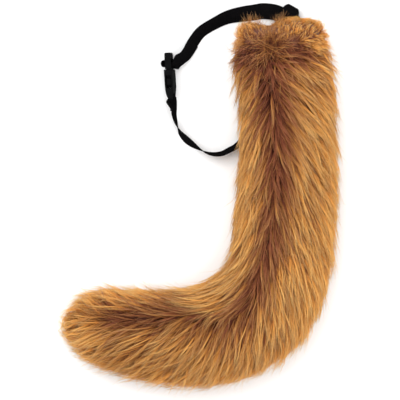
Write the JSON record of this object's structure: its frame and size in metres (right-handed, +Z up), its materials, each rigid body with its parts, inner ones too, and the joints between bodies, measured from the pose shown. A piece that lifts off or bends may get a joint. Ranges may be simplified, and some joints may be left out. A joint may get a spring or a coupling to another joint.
{
  "type": "faux fur fox tail on a belt",
  "caption": "Stuffed faux fur fox tail bent to one side, hung by a webbing loop on a flat elastic waist belt that closes in a side-release buckle.",
  "frame": {"origin": "on the surface that it lies on, under the middle of its bounding box", "axes": "+Z up from the surface; +Y from the tail's lower arm towards its root; +X away from the buckle, towards the shaft"},
  "size_m": [0.3526, 0.4848, 0.0886],
  "materials": {
    "fur": "golden brown long-pile faux fur, darker at the roots",
    "webbing": "black woven elastic",
    "plastic": "black moulded plastic with a satin sheen"
  },
  "bodies": {
    "root": {"fur_tail": "fur", "belt_loop": "webbing", "belt": "webbing", "buckle_socket": "plastic", "buckle_plug": "plastic"}
  },
  "joints": []
}
